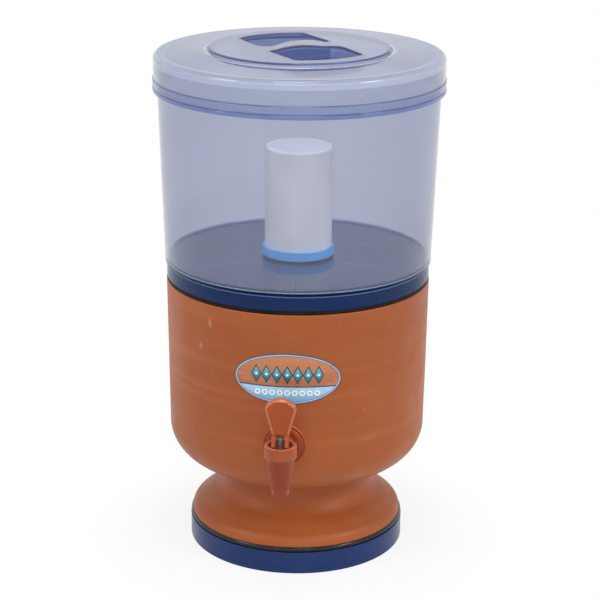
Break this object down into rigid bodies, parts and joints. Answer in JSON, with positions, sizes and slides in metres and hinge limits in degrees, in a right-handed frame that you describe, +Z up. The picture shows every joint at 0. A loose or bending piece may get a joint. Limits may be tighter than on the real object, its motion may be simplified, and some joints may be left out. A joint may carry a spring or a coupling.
{
  "type": "clay water filter pot",
  "caption": "Clay water pot with a clear filter tank and lid on top, a ceramic candle and float valve inside, and a lever tap at the front.",
  "frame": {"origin": "centre of the base dish's underside, on the surface that the pot stands on", "axes": "+Z up along the pot's axis, -Y towards the tap, +X to the right as seen from the tap"},
  "size_m": [0.2462, 0.2824, 0.4411],
  "materials": {
    "dish_plastic": "glossy, injection moulded",
    "bead_rubber": "smooth and shiny",
    "clay": "matt fired clay, finely turned",
    "seal_rubber": "smooth",
    "label_film": "printed glossy film",
    "plate_plastic": "glossy, injection moulded",
    "tank_plastic": "clear, pale blue tint",
    "lid_plastic": "clear, pale blue tint",
    "candle_ceramic": "matt, fine pores",
    "carbon": "loose black grains",
    "cup_plastic": "glossy",
    "white_rubber": "smooth",
    "white_plastic": "satin",
    "pin_steel": "brushed",
    "ball_plastic": "glossy",
    "tap_plastic": "satin, moulded",
    "stem_plastic": "satin",
    "lever_plastic": "satin, moulded"
  },
  "bodies": {
    "pot": {"base_dish": "dish_plastic", "foot_bead": "bead_rubber", "clay_reservoir": "clay", "rim_seal": "seal_rubber", "front_label": "label_film", "tap_body": "tap_plastic", "outer_washer": "tap_plastic", "inner_washer": "seal_rubber", "tap_nut": "white_plastic", "tap_bonnet": "tap_plastic", "gland_seal": "seal_rubber"},
    "upper_tank": {"support_plate": "plate_plastic", "water_tank": "tank_plastic", "candle_ceramic": "candle_ceramic", "candle_carbon": "carbon", "candle_cup": "cup_plastic", "candle_gasket": "white_rubber", "wing_nut": "white_plastic", "valve_body": "white_plastic", "float_pin": "pin_steel"},
    "float": {"float_arm": "white_plastic", "float_ball": "ball_plastic", "float_plug": "seal_rubber"},
    "lid": {"tank_lid": "lid_plastic"},
    "stem": {"tap_stem": "stem_plastic", "stem_plug": "seal_rubber", "lever_pin": "pin_steel"},
    "lever": {"tap_lever": "lever_plastic"}
  },
  "joints": [
    {"name": "tank_lift", "type": "slide", "parent": "pot", "child": "upper_tank", "axis": [0, 0, 1], "range_m": [0, 0.12]},
    {"name": "lid_lift", "type": "slide", "parent": "upper_tank", "child": "lid", "axis": [0, 0, 1], "range_m": [0, 0.1]},
    {"name": "float_swing", "type": "hinge", "parent": "upper_tank", "child": "float", "pos_m": [0, -0.009, 0.2063], "axis": [1, 0, 0], "range_deg": [0, 33]},
    {"name": "stem_lift", "type": "slide", "parent": "pot", "child": "stem", "axis": [0, 0, 1], "range_m": [0, 0.003]},
    {"name": "lever_tilt", "type": "hinge", "parent": "stem", "child": "lever", "pos_m": [0, -0.146, 0.1404], "axis": [1, 0, 0], "range_deg": [0, 75], "stiffness_Nm_per_rad": 0.05}
  ],
  "couplings": [
    {"joint": "stem_lift", "follows": "lever_tilt", "m_per_rad": 0.0022918}
  ]
}
